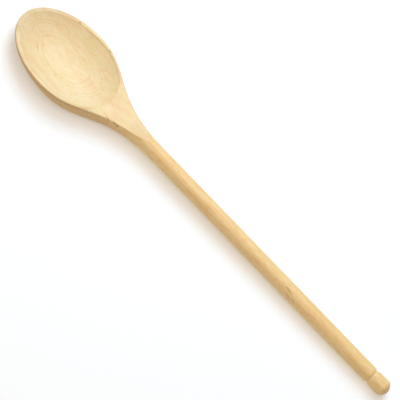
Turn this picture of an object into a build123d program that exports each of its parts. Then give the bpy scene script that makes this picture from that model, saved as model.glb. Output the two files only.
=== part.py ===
"""Wooden mixing spoon, turned and carved from one straight length of hardwood.

Lengths are millimetres. X runs from the bowl's tip to the handle's end, Z is
up, and the spoon lies on a table at Z = 0 as it would at rest: the belly of
the bowl and the swollen cap of the handle touch the table, so the handle's
axis falls slightly toward its end.
"""

import math
import os

from build123d import *

os.makedirs("parts", exist_ok=True)

# Overall size
spoon_length = 355.6
handle_radius = 6.0

# Plan outline of the turned head, and of the flare that becomes the handle
head_radius = 29.6
widest_at = 45.0
flare_length = 84.0
flare_head_share = 0.38
flare_handle_share = 0.59

# Ring groove near the handle's end, then a slightly swollen cap with a domed end
groove_centre_from_end = 15.3
groove_width = 3.2
groove_depth = 0.8
cap_step = 0.1
cap_swell = 0.15
dome_length = 4.8
dome_side_share = 0.42
dome_end_share = 0.52

# Sawn face on top, which rises a little from the tip, dips at the neck and runs out on
# the handle; the shares of its height are of the handle's radius
tip_height = 3.9
face_middle_height_share = 0.86
face_crown_share = 0.3
face_crown_height_share = 1.0
face_end_height_share = 0.95
neck_dip_share = 0.72
neck_dip_height_share = 0.89
facet_run_out_share = 0.93
facet_run_out_height_share = 1.06

# Belly of the head, crowned from side to side and drawn up toward the tip and the neck
belly_drop = 10.0
belly_crown_rise = 7.7
belly_lowest_share = 0.248
nose_thickness = 3.3
belly_front_share = 0.303
belly_front_height_share = 0.43
belly_front_low_share = 0.371
belly_back_share = 0.79
belly_back_clearance = 1.48
belly_back_low_share = 0.36
belly_back_end_share = 0.26
belly_back_end_height_share = 0.4

# Hollow of the bowl, swept by a cutter that swings about an axis along the spoon
hollow_depth = 8.5
rim_land = 3.0
tip_land = 3.1
hollow_end_share = 0.466
hollow_front_share = 0.284
hollow_front_depth_share = 0.706
hollow_low_share = 0.36
hollow_back_share = 0.215
hollow_back_depth_share = 0.588
lip_rise = 1.0

# Sanded edges
belly_edge_radius = 3.5
rim_edge_radius = 0.8
hollow_edge_radius = 0.6
groove_edge_radius = 0.3

# How far the cuts run past the wood
cut_overrun = 4.0

# Places along the handle's axis, measured from the bowl's tip
flare_end = widest_at + flare_length
groove_centre = spoon_length - groove_centre_from_end
groove_start = groove_centre - groove_width / 2
groove_end = groove_centre + groove_width / 2
dome_start = spoon_length - dome_length
cap_swell_at = (groove_end + dome_start) / 2
cap_start_radius = handle_radius - cap_step
cap_radius = handle_radius + cap_swell
facet_end = widest_at + facet_run_out_share * flare_length
belly_lowest_at = widest_at + belly_lowest_share * flare_length
belly_back_at = widest_at + belly_back_share * flare_length
hollow_end = widest_at + hollow_end_share * flare_length
face_crown_at = widest_at + face_crown_share * flare_length
neck_dip_at = widest_at + neck_dip_share * flare_length

# The spoon lies on its belly and its cap, which sets the lean of its axis
lean_angle = math.degrees(
    math.asin((belly_drop - cap_radius) / (dome_start - belly_lowest_at))
)
lean_slope = math.tan(math.radians(lean_angle))
tip_x = -spoon_length / 2
tip_z = belly_drop + belly_lowest_at * lean_slope

turning_plane = Plane(origin=(tip_x, 0, tip_z)).rotated((0, lean_angle, 0))
turning_axis = Axis(turning_plane.origin, turning_plane.x_dir)
saw_reach = head_radius + cut_overrun
sawing_plane = Plane(
    origin=turning_plane.origin + turning_plane.y_dir * saw_reach,
    x_dir=turning_plane.x_dir,
    z_dir=(0, -1, 0),
)

# The plane that the hollow is cut from, level with the sawn face at the hollow's ends
face_end_height = face_end_height_share * handle_radius
rim_angle = math.degrees(math.atan2(face_end_height - tip_height, hollow_end))
rim_plane = Plane(
    origin=turning_plane.origin + turning_plane.z_dir * tip_height,
    x_dir=turning_plane.x_dir,
    z_dir=turning_plane.z_dir,
).rotated((0, -rim_angle, 0))

# The hollow's cutter swings above the sawn face, so that it cuts its full width there
hollow_half_width = head_radius - rim_land
hollow_swing = (hollow_half_width**2 - hollow_depth**2) / (2 * hollow_depth)
hollow_plane = Plane(
    origin=rim_plane.origin + rim_plane.z_dir * hollow_swing,
    x_dir=rim_plane.x_dir,
    z_dir=(0, -1, 0),
)
hollow_axis = Axis(hollow_plane.origin, hollow_plane.x_dir)
hollow_reach = hollow_swing + hollow_depth
hollow_front_length = widest_at - tip_land
hollow_back_length = hollow_end - widest_at
hollow_front_pull = hollow_front_share * hollow_front_length
hollow_front_pull_depth = hollow_front_depth_share * hollow_depth
hollow_back_pull = hollow_back_share * hollow_back_length
hollow_back_pull_depth = hollow_back_depth_share * hollow_depth

# Its cut starts and ends above the sawn face, and crosses it at the lands
hollow_lip = hollow_swing - lip_rise
hollow_front_lip = tip_land - lip_rise * hollow_front_pull / hollow_front_pull_depth
hollow_back_lip = hollow_end + lip_rise * hollow_back_pull / hollow_back_pull_depth

# The belly's cutter swings above the table, level with it
belly_swing = (head_radius**2 + belly_crown_rise**2) / (2 * belly_crown_rise)
belly_plane = Plane(origin=(tip_x, 0, belly_swing), x_dir=(1, 0, 0), z_dir=(0, -1, 0))
belly_axis = Axis(belly_plane.origin, belly_plane.x_dir)
belly_front_height = tip_z + tip_height - nose_thickness
belly_front_slope = (1 - belly_front_height_share) / (belly_front_share * belly_lowest_at)
belly_overrun_height = belly_front_height * (1 + belly_front_slope * cut_overrun)
belly_back_length = belly_back_at - belly_lowest_at
belly_back_axis_height = belly_drop - belly_back_length * lean_slope
belly_back_height = belly_back_axis_height - handle_radius - belly_back_clearance

# A sanded edge can't be rounder than the walls beside it allow
side_wall = belly_drop - belly_crown_rise + tip_height
belly_edge = min(belly_edge_radius, nose_thickness - rim_edge_radius, side_wall / 2)
rim_edge = min(rim_edge_radius, (rim_land - hollow_edge_radius) / 1.5)
groove_edge = min(groove_edge_radius, groove_depth / 2)

with BuildPart() as spoon:
    # Turned blank: head, flare, handle, ring groove, cap and dome in one profile
    with BuildSketch(turning_plane) as turned_profile:
        with BuildLine():
            EllipticalCenterArc(
                (widest_at, 0), widest_at, head_radius, start_angle=90, arc_size=90
            )
            Bezier(
                (widest_at, head_radius),
                (widest_at + flare_head_share * flare_length, head_radius),
                (flare_end - flare_handle_share * flare_length, handle_radius),
                (flare_end, handle_radius),
            )
            Line((flare_end, handle_radius), (groove_start, handle_radius))
            ThreePointArc(
                (groove_start, handle_radius),
                (groove_centre, handle_radius - groove_depth),
                (groove_end, cap_start_radius),
            )
            Bezier(
                (groove_end, cap_start_radius),
                (cap_swell_at, cap_radius),
                (dome_start, cap_radius),
            )
            Bezier(
                (dome_start, cap_radius),
                (dome_start + dome_side_share * dome_length, cap_radius),
                (spoon_length, dome_end_share * cap_radius),
                (spoon_length, 0),
            )
            Line((spoon_length, 0), (0, 0))
        make_face()
    revolve(axis=turning_axis)

    # Sawn face on top of the head and the neck
    with BuildSketch(sawing_plane) as sawn_away:
        with BuildLine():
            face_nose = (-cut_overrun, tip_height)
            face_run_out = (facet_end, facet_run_out_height_share * handle_radius)
            Spline(
                face_nose,
                (widest_at, face_middle_height_share * handle_radius),
                (face_crown_at, face_crown_height_share * handle_radius),
                (neck_dip_at, neck_dip_height_share * handle_radius),
                face_run_out,
            )
            Polyline(
                face_run_out,
                (facet_end, saw_reach),
                (-cut_overrun, saw_reach),
                face_nose,
            )
        make_face()
    extrude(amount=2 * saw_reach, mode=Mode.SUBTRACT)

    # Belly, cut round from below
    with BuildSketch(belly_plane) as belly_cut:
        with BuildLine():
            belly_nose = (0, belly_swing - belly_front_height)
            belly_low = (belly_lowest_at, belly_swing)
            belly_neck = (belly_back_at, belly_swing - belly_back_height)
            Bezier(
                belly_nose,
                (
                    belly_front_share * belly_lowest_at,
                    belly_swing - belly_front_height_share * belly_front_height,
                ),
                ((1 - belly_front_low_share) * belly_lowest_at, belly_swing),
                belly_low,
            )
            Bezier(
                belly_low,
                (belly_lowest_at + belly_back_low_share * belly_back_length, belly_swing),
                (
                    belly_back_at - belly_back_end_share * belly_back_length,
                    belly_swing - belly_back_end_height_share * belly_back_height,
                ),
                belly_neck,
            )
            Polyline(
                belly_neck,
                (belly_back_at, belly_swing + head_radius),
                (-cut_overrun, belly_swing + head_radius),
                (-cut_overrun, belly_swing - belly_overrun_height),
                belly_nose,
            )
        make_face()
    revolve(axis=belly_axis, mode=Mode.SUBTRACT)
    belly_edges = spoon.edges(Select.LAST).filter_by(GeomType.BSPLINE)
    fillet(belly_edges, radius=belly_edge)

    # Hollow of the bowl
    with BuildSketch(hollow_plane) as hollow_cut:
        with BuildLine():
            hollow_low = (widest_at, hollow_reach)
            Bezier(
                (hollow_front_lip, hollow_lip),
                (tip_land + hollow_front_pull, hollow_swing + hollow_front_pull_depth),
                (widest_at - hollow_low_share * hollow_front_length, hollow_reach),
                hollow_low,
            )
            Bezier(
                hollow_low,
                (widest_at + hollow_low_share * hollow_back_length, hollow_reach),
                (hollow_end - hollow_back_pull, hollow_swing + hollow_back_pull_depth),
                (hollow_back_lip, hollow_lip),
            )
            Polyline(
                (hollow_back_lip, hollow_lip),
                (hollow_back_lip, 0),
                (hollow_front_lip, 0),
                (hollow_front_lip, hollow_lip),
            )
        make_face()
    revolve(axis=hollow_axis, mode=Mode.SUBTRACT)

    # Outer rim, inner rim and the lips of the ring groove, all lightly sanded
    rim_face = spoon.faces().filter_by(GeomType.EXTRUSION)[0]
    fillet(rim_face.outer_wire().edges(), radius=rim_edge)
    rim_face = spoon.faces().filter_by(GeomType.EXTRUSION)[0]
    fillet(rim_face.inner_wires()[0].edges(), radius=hollow_edge_radius)
    groove_face = spoon.faces().filter_by(GeomType.TORUS)[0]
    groove_lips = groove_face.edges().sort_by(SortBy.LENGTH)[-2:]
    fillet(groove_lips, radius=groove_edge)

spoon.part.label = "spoon"
spoon.part.color = Color(0.86, 0.66, 0.42)
export_step(spoon.part, "parts/spoon.step")
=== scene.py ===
import math
from types import SimpleNamespace

import bpy
from mathutils import Matrix, Vector


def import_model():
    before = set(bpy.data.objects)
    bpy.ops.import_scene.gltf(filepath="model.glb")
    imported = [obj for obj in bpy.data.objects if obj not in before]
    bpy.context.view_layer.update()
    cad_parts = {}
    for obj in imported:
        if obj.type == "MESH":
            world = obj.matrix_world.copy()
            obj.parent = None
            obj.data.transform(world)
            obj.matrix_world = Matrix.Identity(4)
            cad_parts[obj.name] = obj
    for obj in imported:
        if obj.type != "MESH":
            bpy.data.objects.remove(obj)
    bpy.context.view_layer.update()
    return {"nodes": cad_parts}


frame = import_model()
spoon = frame["nodes"]["spoon"]

# The spoon lies on its belly and its cap, so its own axis falls slightly toward the cap.
# The axis starts at the bowl's tip, which is in metres.
LEAN = math.radians(0.774106)
ALONG = Vector((math.cos(LEAN), 0.0, -math.sin(LEAN)))
LIFT = Vector((math.sin(LEAN), 0.0, math.cos(LEAN)))
TIP = Vector((-0.1778, 0.0, 0.01088949))

# The wood is worked out in millimetres: along the spoon from its tip, across it with the
# far side plus, and above its axis
MM_PER_METRE = 1000.0
SPOON_LENGTH = 355.6
CAP_END_GRAIN = 5.0

# Height of the sawn face above the axis on the head: at the tip, its climb and its bend
FACE_AT_TIP = 3.9
FACE_CLIMB = 0.0247
FACE_BEND = 0.0000745

# Growth layers lie nearly level in the blank, bowed round a heart far below it. The layer
# that ends at the ring height shows as a plain ring in the bowl.
LAYER_THICKNESS = 0.9
LAYER_DRIFT = 1.3
LAYER_WAVER = 0.25
LAYER_STRENGTHS = (0.15, 0.75)
HEART_DISTANCE = 250.0
RING_HEIGHT = -1.7
PLAIN_LAYER = -1.0
HALF_A_LAYER = 0.5
PLAIN_STRENGTH = 0.75

# Sapwood starts here on the middle line, and nearer the tip toward the near side
SAPWOOD_START = 60.0
SAPWOOD_TURN = 0.6

# The painted shade on the rim at the tip reaches farther on the far side, by this share of the
# place across
RIM_SHADE_TURN = 0.45

# How far the steepest part of the cut face looks up, on the head and on the neck
STEEPEST_CUT = (0.5, 0.955)

# Strengths where a look is at its weakest
PALENESS_AT_NECK = 0.45
GRAIN_ON_CUT_FACE = 0.5
FAINTEST_LIP_LINE = 0.3

# The wood's own colours, and last a paler far slope of the hollow that is painted light
TURNED_WOOD = (0.89, 0.66, 0.33, 1.0)
CUT_WOOD = (0.85, 0.70, 0.425, 1.0)
SAPWOOD = (0.865, 0.745, 0.50, 1.0)
FAR_SLOPE_PAINTED_LIGHT = (0.91, 0.757, 0.475, 1.0)

# What tints the wood, in this order, some of it painted shade: the colour it is multiplied by, and
# how strongly
STAINS = {
    # Painted shade on the steep walls of the head and neck, darkest just under the rim
    "painted shade on the wall": ((0.82, 0.74, 0.66, 1.0), 1.0),
    "painted shade under the rim": ((0.84, 0.83, 0.74, 1.0), 1.0),
    "painted warm shade on the neck wall": ((1.0, 0.95, 0.87, 1.0), 1.0),
    "rosy patches": ((0.98, 0.91, 0.84, 1.0), 0.8),
    "yellow patches": ((0.96, 0.96, 0.84, 1.0), 0.8),
    "rosy mottling": ((1.0, 0.90, 0.84, 1.0), 0.7),
    "yellow mottling": ((0.96, 0.94, 0.80, 1.0), 0.6),
    # Painted shade toward the tip, the first partly the wood's own darker tone
    "darker tip, partly painted shade": ((0.89, 0.88, 0.97, 1.0), 0.4),
    "painted shade on the rim at the tip": ((0.90, 0.87, 0.84, 1.0), 1.0),
    "darker run-out": ((0.90, 0.865, 0.81, 1.0), 1.0),
    "late wood": ((0.86, 0.78, 0.66, 1.0), 0.55),
    "grain streaks": ((0.84, 0.74, 0.62, 1.0), 0.7),
    "short flecks": ((0.85, 0.76, 0.62, 1.0), 0.65),
    "pores": ((0.74, 0.6, 0.45, 1.0), 0.5),
    # Painted shade along the lip of the hollow
    "painted shade line on the lip": ((0.86, 0.76, 0.62, 1.0), 0.8),
    "end grain": ((0.86, 0.78, 0.68, 1.0), 0.9),
    "small marks": ((0.5, 0.38, 0.26, 1.0), 0.85),
}

# The span over which each look comes in or goes out. Places are in millimetres.
SPANS = {
    # Along the spoon
    "toward the tip": (2.0, 34.0),
    "past the tip": (10.0, 28.0),
    "toward the neck": (72.0, 92.0),
    "lip line ends": (76.0, 82.0),
    "the head": (84.0, 120.0),
    "the neck": (84.0, 98.0),
    "steepest cut face": (86.0, 114.0),
    "the neck ends": (100.0, 124.0),
    "run-out starts": (101.0, 113.0),
    "run-out ends": (116.0, 125.0),
    "before the handle": (117.0, 126.0),
    "toward the cap's end": (SPOON_LENGTH - CAP_END_GRAIN, SPOON_LENGTH),
    # Across it
    "near part": (1.0, 5.0),
    "the far slope": (17.5, 24.5),
    # On a slant, along and across together
    "the sapwood": (0.0, 18.0),
    "rim shade ends": (12.0, 19.0),
    # Below the sawn face
    "lip line starts down": (0.05, 0.25),
    "lip line fades down": (0.4, 0.75),
    "inside the hollow": (0.1, 1.0),
    "rim ends": (0.3, 0.8),
    "line under the rim fades": (1.4, 3.4),
    # How far the surface looks up: 0 where it is upright, 1 where it is level
    "flatter than the turned form": (0.0, 0.05),
    "on the upper side": (0.1, 0.4),
    "upright or hanging": (0.1, 0.5),
    "flat run-out": (0.9, 0.98),
    "flat rim": (0.965, 0.99),
    # Soft noise, and each layer's luck
    "rosy": (0.5, 0.66),
    "yellow": (0.48, 0.34),
    "streaked": (0.48, 0.7),
    "flecked": (0.56, 0.7),
    "pore": (0.66, 0.74),
    "broken lip line": (0.35, 0.6),
    "layer strength": (0.0, 1.0),
    # Place within a growth layer
    "late wood thickens": (0.45, 0.93),
    "spring wood starts": (0.95, 1.0),
    # Distance from a mark's middle, where 1 is its half length or half width
    "mark fades": (0.4, 1.2),
}

# Soft noises: length of their lumps along and across the grain in millimetres, detail,
# roughness, and a shift that sets them apart
CLOUDS = {
    "slow drift of the layers": (60.0, 24.0, 1.0, 0.5, 0.0),
    "small waver of the layers": (14.0, 6.0, 2.0, 0.5, 5.3),
    "broad patches": (26.0, 9.0, 2.0, 0.5, 2.7),
    "small mottling": (7.0, 2.6, 2.0, 0.5, 6.1),
    "long grain": (30.0, 0.7, 4.0, 0.6, 1.1),
    "flecks": (4.5, 0.75, 2.0, 0.5, 4.4),
    "pores along the grain": (2.6, 0.22, 1.0, 0.5, 9.0),
    "breaks in the lip line": (9.0, 9.0, 1.0, 0.5, 3.9),
    "ragged edge": (1.6, 0.3, 2.0, 0.5, 0.0),
}

# Small marks: place along and across, half length and half width in millimetres, turn
# in degrees from the grain, and how dark
MARKS = {
    "streak by the small knot": (258.6, -2.5, 3.4, 0.45, -8.0, 1.0),
    "short streak beside it": (257.5, 0.3, 2.2, 0.3, -6.0, 0.5),
    "second short streak": (261.2, -5.2, 2.9, 0.24, -7.0, 0.75),
    "third short streak": (266.1, -5.1, 3.2, 0.24, -5.0, 0.7),
    "torn grain at the neck": (90.7, -10.9, 2.6, 0.34, -7.0, 1.0),
    "torn grain farther on": (96.2, -9.35, 2.0, 0.3, 5.0, 1.0),
    "torn grain at its end": (98.9, -8.95, 1.5, 0.3, 12.0, 0.9),
    "nick in the hollow": (23.2, -8.3, 2.3, 0.3, -47.0, 0.6),
    "speck in the hollow": (35.5, -13.5, 0.7, 0.5, -47.0, 0.45),
    "nick on the far rim": (30.0, 25.5, 1.5, 0.55, 15.0, 1.0),
    "second nick on the far rim": (58.3, 26.2, 1.7, 0.5, -10.0, 0.9),
}
MARK_DEPTH = 40.0
MARK_RAGGEDNESS = 0.45

# Sanded matt, a little smoother where the wood is dense. The bump's height is in metres.
ROUGHNESS = 0.36
ROUGHNESS_OF_GRAIN = 0.2
POLISH_OF_LAYERS = 0.06
SPECULAR = 0.5
RELIEF_OF_GRAIN = 0.5
BUMP_STRENGTH = 0.35
BUMP_HEIGHT = 0.00003

# Plain pale floor, lit softly from below as on a light table. Metres.
FLOOR_SIZE = 6.0
PAPER = {
    "Base Color": (0.65, 0.70, 0.77, 1.0),
    "Roughness": 0.9,
    "Emission Color": (1.0, 0.95, 0.88, 1.0),
    "Emission Strength": 0.33,
}

# Soft studio light: a cool key from beyond the spoon's far side and a warm soft box
# overhead, each with its diameter and distance in metres, direction, watts and colour,
# and warm pale light all round
KEY_SLOPE = math.radians(34.5)
KEY_DIRECTION = (-0.28, math.sin(KEY_SLOPE), math.cos(KEY_SLOPE))
SOFT_BOXES = {
    "key light": (1.0, 1.3, KEY_DIRECTION, 12.6, (0.75, 0.885, 1.0)),
    "overhead soft box": (1.4, 1.4, (-0.1, -0.12, 1.0), 9.9, (1.0, 0.86, 0.71)),
}
ROOM = {"Color": (1.0, 0.87, 0.73, 1.0), "Strength": 0.25}

# The photograph's camera looks down on the spoon from its near side, and the spoon runs
# from the upper left of the picture to the lower right. Metres.
TILT = math.radians(28.0)
ROLL = math.radians(45.96)
DISTANCE = 1.35
LOOK_AT = Vector((-0.00415, -0.00053, 0.00822))
FRAME_WIDTH = 0.271
CLIP_START = 0.05


def node(tree, kind, label, **values):
    """A node of this kind in the tree, with its properties and number sockets set."""
    made = tree.nodes.new(kind)
    made.label = label
    for name, value in values.items():
        if name in made.bl_rna.properties:
            setattr(made, name, value)
        else:
            made.inputs[name].default_value = value
    return made


def feed(tree, value, socket):
    """Set a socket from another socket, or from a number or a colour."""
    if isinstance(value, bpy.types.NodeSocket):
        tree.links.new(value, socket)
    else:
        socket.default_value = value


def work_out(tree, label, operation, *values):
    """One step of arithmetic on sockets or numbers."""
    step = node(tree, "ShaderNodeMath", label, operation=operation)
    for value, socket in zip(values, step.inputs):
        feed(tree, value, socket)
    return step.outputs["Value"]


def all_of(tree, label, mask, *others):
    """These masks multiplied together."""
    for other in others:
        mask = work_out(tree, label, "MULTIPLY", mask, other)
    return mask


def between(tree, name, value, first=0.0, last=1.0):
    """A smooth passage from first to last as the value goes over the span of that name."""
    start, end = SPANS[name]
    passage = node(tree, "ShaderNodeMapRange", name, interpolation_type="SMOOTHSTEP")
    feed(tree, value, passage.inputs["Value"])
    passage.inputs["From Min"].default_value = start
    passage.inputs["From Max"].default_value = end
    passage.inputs["To Min"].default_value = first
    passage.inputs["To Max"].default_value = last
    return passage.outputs["Result"]


def before(tree, name, value):
    """A mask that is full before the span of that name and goes out over it."""
    return between(tree, name, value, 1.0, 0.0)


def cloud(tree, name, place):
    """The soft noise of that name, drawn out along the grain, 0 to 1."""
    along, across, detail, roughness, shift = CLOUDS[name]
    stretch = node(tree, "ShaderNodeMapping", name + " stretched along the grain")
    stretch.inputs["Scale"].default_value = (1.0 / along, 1.0 / across, 1.0 / across)
    stretch.inputs["Location"].default_value = (shift, shift, shift)
    noise = node(tree, "ShaderNodeTexNoise", name, Scale=1.0, Detail=detail, Roughness=roughness)
    tree.links.new(place, stretch.inputs["Vector"])
    tree.links.new(stretch.outputs["Vector"], noise.inputs["Vector"])
    return noise.outputs["Fac"]


def swing(tree, label, noise, reach):
    """Soft noise turned into a swing by this reach either way."""
    return work_out(tree, label, "MULTIPLY_ADD", noise, 2.0 * reach, -reach)


def blend(tree, label, mask, first, second, how="MIX"):
    """The second colour laid over the first where the mask says so."""
    mixed = node(tree, "ShaderNodeMix", label, data_type="RGBA", blend_type=how)
    feed(tree, mask, mixed.inputs[0])
    feed(tree, first, mixed.inputs[6])
    feed(tree, second, mixed.inputs[7])
    return mixed.outputs[2]


def surface_place(tree):
    """Where a point of the surface is on the spoon, and how far the surface looks up there."""
    coordinates = node(tree, "ShaderNodeTexCoord", "object coordinates")
    to_axis = node(tree, "ShaderNodeMapping", "place on the spoon's own axis")
    start = (-MM_PER_METRE * TIP.dot(ALONG), 0.0, -MM_PER_METRE * TIP.dot(LIFT))
    to_axis.inputs["Location"].default_value = start
    to_axis.inputs["Rotation"].default_value = (0.0, -LEAN, 0.0)
    to_axis.inputs["Scale"].default_value = (MM_PER_METRE, MM_PER_METRE, MM_PER_METRE)
    tree.links.new(coordinates.outputs["Object"], to_axis.inputs["Vector"])
    split = node(tree, "ShaderNodeSeparateXYZ", "along, across and above")
    tree.links.new(to_axis.outputs["Vector"], split.inputs["Vector"])
    along, across, height = split.outputs

    facing = node(tree, "ShaderNodeVectorMath", "how far it looks up", operation="DOT_PRODUCT")
    facing.inputs[1].default_value = LIFT
    tree.links.new(coordinates.outputs["Normal"], facing.inputs[0])

    face = work_out(tree, "face climbing", "MULTIPLY_ADD", along, FACE_CLIMB, FACE_AT_TIP)
    bend = work_out(tree, "square of the length", "MULTIPLY", along, along)
    face = work_out(tree, "face bending up", "MULTIPLY_ADD", bend, FACE_BEND, face)
    return SimpleNamespace(
        place=to_axis.outputs["Vector"],
        along=along,
        across=across,
        height=height,
        below=work_out(tree, "depth below the face", "SUBTRACT", face, height),
        facing=facing.outputs["Value"],
    )


def cut_face(tree, here):
    """Where the sawn face and the hollow are. The turned wall, belly and handle look less up."""
    limit = between(tree, "steepest cut face", here.along, *STEEPEST_CUT)
    over = work_out(tree, "flatter than that", "SUBTRACT", here.facing, limit)
    flatter = between(tree, "flatter than the turned form", over)
    return all_of(tree, "cut face", flatter, before(tree, "before the handle", here.along))


def bare_wood(tree, here, cut):
    """The wood's own colour, paler where it is cut. In the hollow, pale sapwood shows
    on the near side and toward the neck, and the far slope is made a little paler as painted light."""
    turn = -SAPWOOD_TURN * SAPWOOD_START
    toward = work_out(tree, "toward the neck", "MULTIPLY_ADD", here.along, SAPWOOD_TURN, turn)
    toward = work_out(tree, "toward the near side", "SUBTRACT", toward, here.across)
    inside = between(tree, "inside the hollow", here.below)
    sapwood = all_of(tree, "sapwood in the hollow", between(tree, "the sapwood", toward), inside)
    far_slope = between(tree, "the far slope", here.across)
    far_slope = all_of(tree, "far slope of the hollow", far_slope, inside)
    neckward = between(tree, "toward the neck", here.along, 1.0, PALENESS_AT_NECK)
    pale = all_of(tree, "paler where it is cut", cut, neckward)

    hollow = blend(tree, "wood of the cut face", sapwood, CUT_WOOD, SAPWOOD)
    # Painted light: the far slope of the hollow is made paler
    hollow = blend(tree, "painted light on the far slope", far_slope, hollow, FAR_SLOPE_PAINTED_LIGHT)
    return blend(tree, "cut face against turned surface", pale, TURNED_WOOD, hollow)


def wall_masks(tree, here):
    """Painted shade on the steep wall of the head, darkest just under the rim, and warmer painted
    shade on the neck's wall.
    """
    steep = before(tree, "upright or hanging", here.facing)
    wall = all_of(tree, "wall of the head", steep, before(tree, "the head", here.along))
    under_rim = between(tree, "rim ends", here.below)
    fading = before(tree, "line under the rim fades", here.below)
    neck = between(tree, "the neck", here.along)
    neck_ends = before(tree, "the neck ends", here.along)
    return {
        "painted shade on the wall": wall,
        "painted shade under the rim": all_of(tree, "line under the rim", wall, under_rim, fading),
        "painted warm shade on the neck wall": all_of(tree, "wall of the neck", steep, neck, neck_ends),
    }


def patch_masks(tree, here):
    """Broad and small patches, rosy and yellow in turn."""
    patches = cloud(tree, "broad patches", here.place)
    mottling = cloud(tree, "small mottling", here.place)
    return {
        "rosy patches": between(tree, "rosy", patches),
        "yellow patches": between(tree, "yellow", patches),
        "rosy mottling": between(tree, "rosy", mottling),
        "yellow mottling": between(tree, "yellow", mottling),
    }


def tip_rim_and_cap_masks(tree, here):
    """The tip is darker, partly its own tone and partly painted shade, its flat rim has painted
    shade, the sawn face darkens where it runs out on the handle, and end grain shows on the cap."""
    round_tip = work_out(tree, "round the tip", "MULTIPLY_ADD", here.across, -RIM_SHADE_TURN, here.along)
    rim = between(tree, "flat rim", here.facing)
    run_out = (
        between(tree, "run-out starts", here.along),
        before(tree, "run-out ends", here.along),
        before(tree, "near part", here.across),
        between(tree, "flat run-out", here.facing),
    )
    return {
        "darker tip, partly painted shade": before(tree, "toward the tip", here.along),
        "painted shade on the rim at the tip": all_of(tree, "painted shade on the flat rim", rim, before(tree, "rim shade ends", round_tip)),
        "darker run-out": all_of(tree, "run-out", *run_out),
        "end grain": between(tree, "toward the cap's end", here.along),
    }


def grain_masks(tree, here, cut, grain):
    """Fine long grain and short flecks, weaker on the cut face, and pores drawn out along it."""
    weaker = GRAIN_ON_CUT_FACE - 1.0
    strong = work_out(tree, "stronger off the cut face", "MULTIPLY_ADD", cut, weaker, 1.0)
    flecks = between(tree, "flecked", cloud(tree, "flecks", here.place))
    return {
        "grain streaks": all_of(tree, "streaks here", between(tree, "streaked", grain), strong),
        "short flecks": all_of(tree, "flecks here", flecks, strong),
        "pores": between(tree, "pore", cloud(tree, "pores along the grain", here.place)),
    }


def lip_line(tree, here, cut):
    """A thin broken line of painted shade along the lip of the hollow."""
    breaks = cloud(tree, "breaks in the lip line", here.place)
    return all_of(
        tree,
        "painted shade line on the lip",
        between(tree, "lip line starts down", here.below),
        before(tree, "lip line fades down", here.below),
        cut,
        before(tree, "lip line ends", here.along),
        between(tree, "past the tip", here.along),
        between(tree, "broken lip line", breaks, FAINTEST_LIP_LINE),
    )


def growth_layers(tree, here):
    """Dense late wood at the end of each year's layer, 0 to 1."""
    drift = cloud(tree, "slow drift of the layers", here.place)
    waver = cloud(tree, "small waver of the layers", here.place)
    drift = swing(tree, "drift in millimetres", drift, LAYER_DRIFT)
    waver = swing(tree, "waver in millimetres", waver, LAYER_WAVER)
    bow = work_out(tree, "square of the width", "MULTIPLY", here.across, here.across)
    bow = work_out(tree, "layers bowed round the heart", "DIVIDE", bow, 2.0 * HEART_DISTANCE)
    level = work_out(tree, "height above the plain ring", "SUBTRACT", here.height, RING_HEIGHT)
    for more in (drift, waver, bow):
        level = work_out(tree, "height among the layers", "ADD", level, more)
    count = work_out(tree, "layers counted", "DIVIDE", level, LAYER_THICKNESS)
    inside = work_out(tree, "place within its layer", "FRACT", count)
    which = work_out(tree, "which layer", "FLOOR", count)

    luck = node(tree, "ShaderNodeTexWhiteNoise", "each layer's own luck", noise_dimensions="1D")
    tree.links.new(which, luck.inputs["W"])
    strength = between(tree, "layer strength", luck.outputs["Value"], *LAYER_STRENGTHS)
    plain = work_out(tree, "the plain layer", "COMPARE", which, PLAIN_LAYER, HALF_A_LAYER)
    plain = work_out(tree, "the plain layer's strength", "MULTIPLY", plain, PLAIN_STRENGTH)
    strength = work_out(tree, "strength of its layer", "MAXIMUM", strength, plain)

    thickening = between(tree, "late wood thickens", inside)
    ending = before(tree, "spring wood starts", inside)
    return all_of(tree, "late wood of its layer", thickening, ending, strength)


def small_mark(tree, name, here, ragged):
    """One dark mark, fading at its ragged edge, 0 to 1."""
    along, across, half_length, half_width, turn, dark = MARKS[name]
    own_place = node(tree, "ShaderNodeMapping", name, vector_type="TEXTURE")
    own_place.inputs["Location"].default_value = (along, across, 0.0)
    own_place.inputs["Rotation"].default_value = (0.0, 0.0, math.radians(turn))
    own_place.inputs["Scale"].default_value = (half_length, half_width, MARK_DEPTH)
    reach = node(tree, "ShaderNodeVectorMath", name + " reach", operation="LENGTH")
    tree.links.new(here.place, own_place.inputs["Vector"])
    tree.links.new(own_place.outputs["Vector"], reach.inputs[0])
    reach = work_out(tree, name + " with a ragged edge", "ADD", reach.outputs["Value"], ragged)
    return between(tree, "mark fades", reach, dark, 0.0)


def small_marks(tree, here):
    """All the small marks, on the spoon's upper side only."""
    ragged = cloud(tree, "ragged edge", here.place)
    ragged = swing(tree, "ragged either way", ragged, MARK_RAGGEDNESS)
    marks = 0.0
    for name in MARKS:
        mark = small_mark(tree, name, here, ragged)
        marks = work_out(tree, "darkest mark here", "MAXIMUM", marks, mark)
    return all_of(tree, "marks on top", marks, between(tree, "on the upper side", here.facing))


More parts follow.
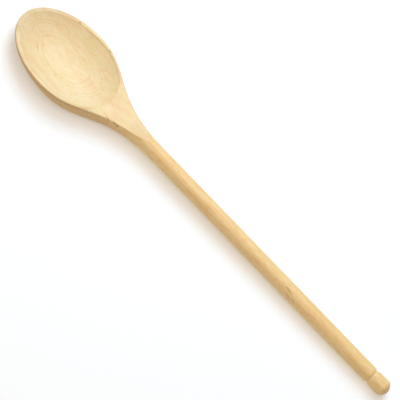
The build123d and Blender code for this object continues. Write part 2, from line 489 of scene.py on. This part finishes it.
def sand(tree, shader, grain, layers, masks):
    """The sanded surface: its gloss, the grain that stands and the pits that sink."""
    matt = work_out(tree, "roughness", "MULTIPLY_ADD", grain, ROUGHNESS_OF_GRAIN, ROUGHNESS)
    matt = work_out(tree, "dense wood polishes", "MULTIPLY_ADD", layers, -POLISH_OF_LAYERS, matt)
    tree.links.new(matt, shader.inputs["Roughness"])
    shader.inputs["Specular IOR Level"].default_value = SPECULAR

    pits = work_out(tree, "pits", "MAXIMUM", masks["pores"], masks["small marks"])
    relief = work_out(tree, "grain stands", "MULTIPLY_ADD", grain, RELIEF_OF_GRAIN, layers)
    relief = work_out(tree, "pores and marks sink", "SUBTRACT", relief, pits)
    bump = node(tree, "ShaderNodeBump", "sanded surface")
    bump.inputs["Strength"].default_value = BUMP_STRENGTH
    bump.inputs["Distance"].default_value = BUMP_HEIGHT
    tree.links.new(relief, bump.inputs["Height"])
    tree.links.new(bump.outputs["Normal"], shader.inputs["Normal"])


def wood_material():
    """Pale close-grained hardwood, sanded and left bare."""
    wood = bpy.data.materials.new("sanded pale hardwood")
    wood.use_nodes = True
    tree = wood.node_tree
    shader = tree.nodes["Principled BSDF"]
    here = surface_place(tree)
    cut = cut_face(tree, here)
    grain = cloud(tree, "long grain", here.place)
    layers = growth_layers(tree, here)
    masks = {
        **wall_masks(tree, here),
        **patch_masks(tree, here),
        **tip_rim_and_cap_masks(tree, here),
        **grain_masks(tree, here, cut, grain),
        "late wood": layers,
        "painted shade line on the lip": lip_line(tree, here, cut),
        "small marks": small_marks(tree, here),
    }
    colour = bare_wood(tree, here, cut)
    for name, (tint, strength) in STAINS.items():
        mask = work_out(tree, name + " strength", "MULTIPLY", masks[name], strength)
        colour = blend(tree, name, mask, colour, tint, "MULTIPLY")
    tree.links.new(colour, shader.inputs["Base Color"])
    sand(tree, shader, grain, layers, masks)
    return wood


def pale_floor():
    """A plain floor of glowing paper, wide enough for every view."""
    bpy.ops.object.select_all(action="DESELECT")
    bpy.ops.mesh.primitive_plane_add(size=FLOOR_SIZE, location=(0.0, 0.0, 0.0))
    floor = bpy.context.object
    floor.name = "floor"
    bpy.ops.object.transform_apply(location=True, rotation=True, scale=True)
    paper = bpy.data.materials.new("pale paper")
    paper.use_nodes = True
    shader = paper.node_tree.nodes["Principled BSDF"]
    for name, value in PAPER.items():
        shader.inputs[name].default_value = value
    floor.data.materials.append(paper)


def soft_box(name):
    """A round soft box that faces the spoon."""
    diameter, distance, direction, watts, colour = SOFT_BOXES[name]
    lamp = bpy.data.lights.new(name, "AREA")
    lamp.shape = "DISK"
    lamp.size = diameter
    lamp.energy = watts
    lamp.color = colour
    box = bpy.data.objects.new(name, lamp)
    bpy.context.scene.collection.objects.link(box)
    toward = Vector(direction)
    box.location = toward.normalized() * distance
    box.rotation_euler = toward.to_track_quat("Z", "Y").to_euler()


def pale_room():
    """Pale light from all round."""
    room = bpy.data.worlds.new("pale room")
    room.use_nodes = True
    for name, value in ROOM.items():
        room.node_tree.nodes["Background"].inputs[name].default_value = value
    return room


def photo_camera():
    """The photograph's camera."""
    toward = LIFT * math.cos(TILT) - Vector((0.0, math.sin(TILT), 0.0))
    nearward = -LIFT * math.sin(TILT) - Vector((0.0, math.cos(TILT), 0.0))
    right = ALONG * math.cos(ROLL) - nearward * math.sin(ROLL)
    up = -ALONG * math.sin(ROLL) - nearward * math.cos(ROLL)
    lens = bpy.data.cameras.new("photo camera")
    lens.lens = lens.sensor_width * DISTANCE / FRAME_WIDTH
    lens.clip_start = CLIP_START
    camera = bpy.data.objects.new("photo camera", lens)
    bpy.context.scene.collection.objects.link(camera)
    turned = Matrix((right, up, toward)).transposed().to_4x4()
    camera.matrix_world = Matrix.Translation(LOOK_AT + toward * DISTANCE) @ turned
    return camera


spoon.data.materials.clear()
spoon.data.materials.append(wood_material())
pale_floor()
for name in SOFT_BOXES:
    soft_box(name)
bpy.context.scene.world = pale_room()
bpy.context.scene.view_settings.view_transform = "Standard"
bpy.context.scene.camera = photo_camera()
